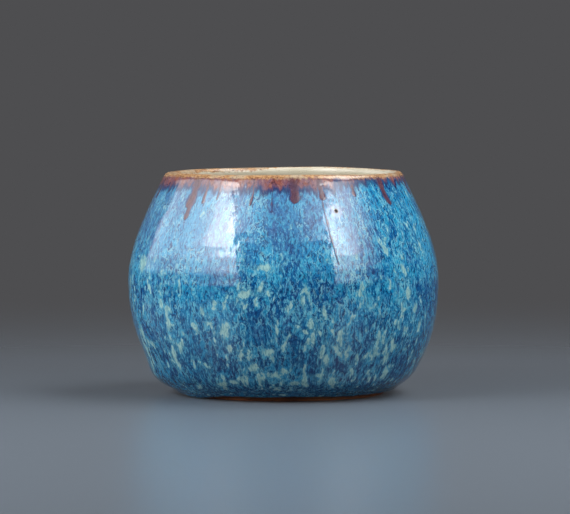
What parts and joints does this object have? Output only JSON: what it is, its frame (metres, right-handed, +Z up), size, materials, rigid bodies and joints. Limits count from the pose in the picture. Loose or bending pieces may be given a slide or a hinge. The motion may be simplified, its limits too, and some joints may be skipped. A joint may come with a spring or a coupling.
{
  "type": "vase",
  "caption": "Squat round wheel-thrown stoneware vase with a wide mouth, blue runny glaze, an iron-brown lip band and a bare turned foot ring.",
  "frame": {"origin": "centre of the foot ring's resting face", "axes": "+Z up along the axis the vase was thrown on; -Y towards the front, the side the runs and the pinhole are placed from"},
  "size_m": [0.12, 0.12, 0.086],
  "materials": {
    "bare_clay": "unglazed, matt, slightly gritty",
    "glaze_roll": "gloss, gathered thick",
    "blue_glaze": "gloss, mottled blue with pale streaks",
    "iron_glaze": "gloss, rust brown",
    "lip_glaze": "gloss, thin and golden where it breaks over the lip",
    "liner_glaze": "satin cream with fine iron specks"
  },
  "bodies": {
    "root": {"clay_body": "bare_clay", "foot_ring": "bare_clay", "glaze_roll": "glaze_roll", "outer_glaze": "blue_glaze", "iron_band": "iron_glaze", "iron_runs": "iron_glaze", "lip_glaze": "lip_glaze", "liner_glaze": "liner_glaze"}
  },
  "joints": []
}
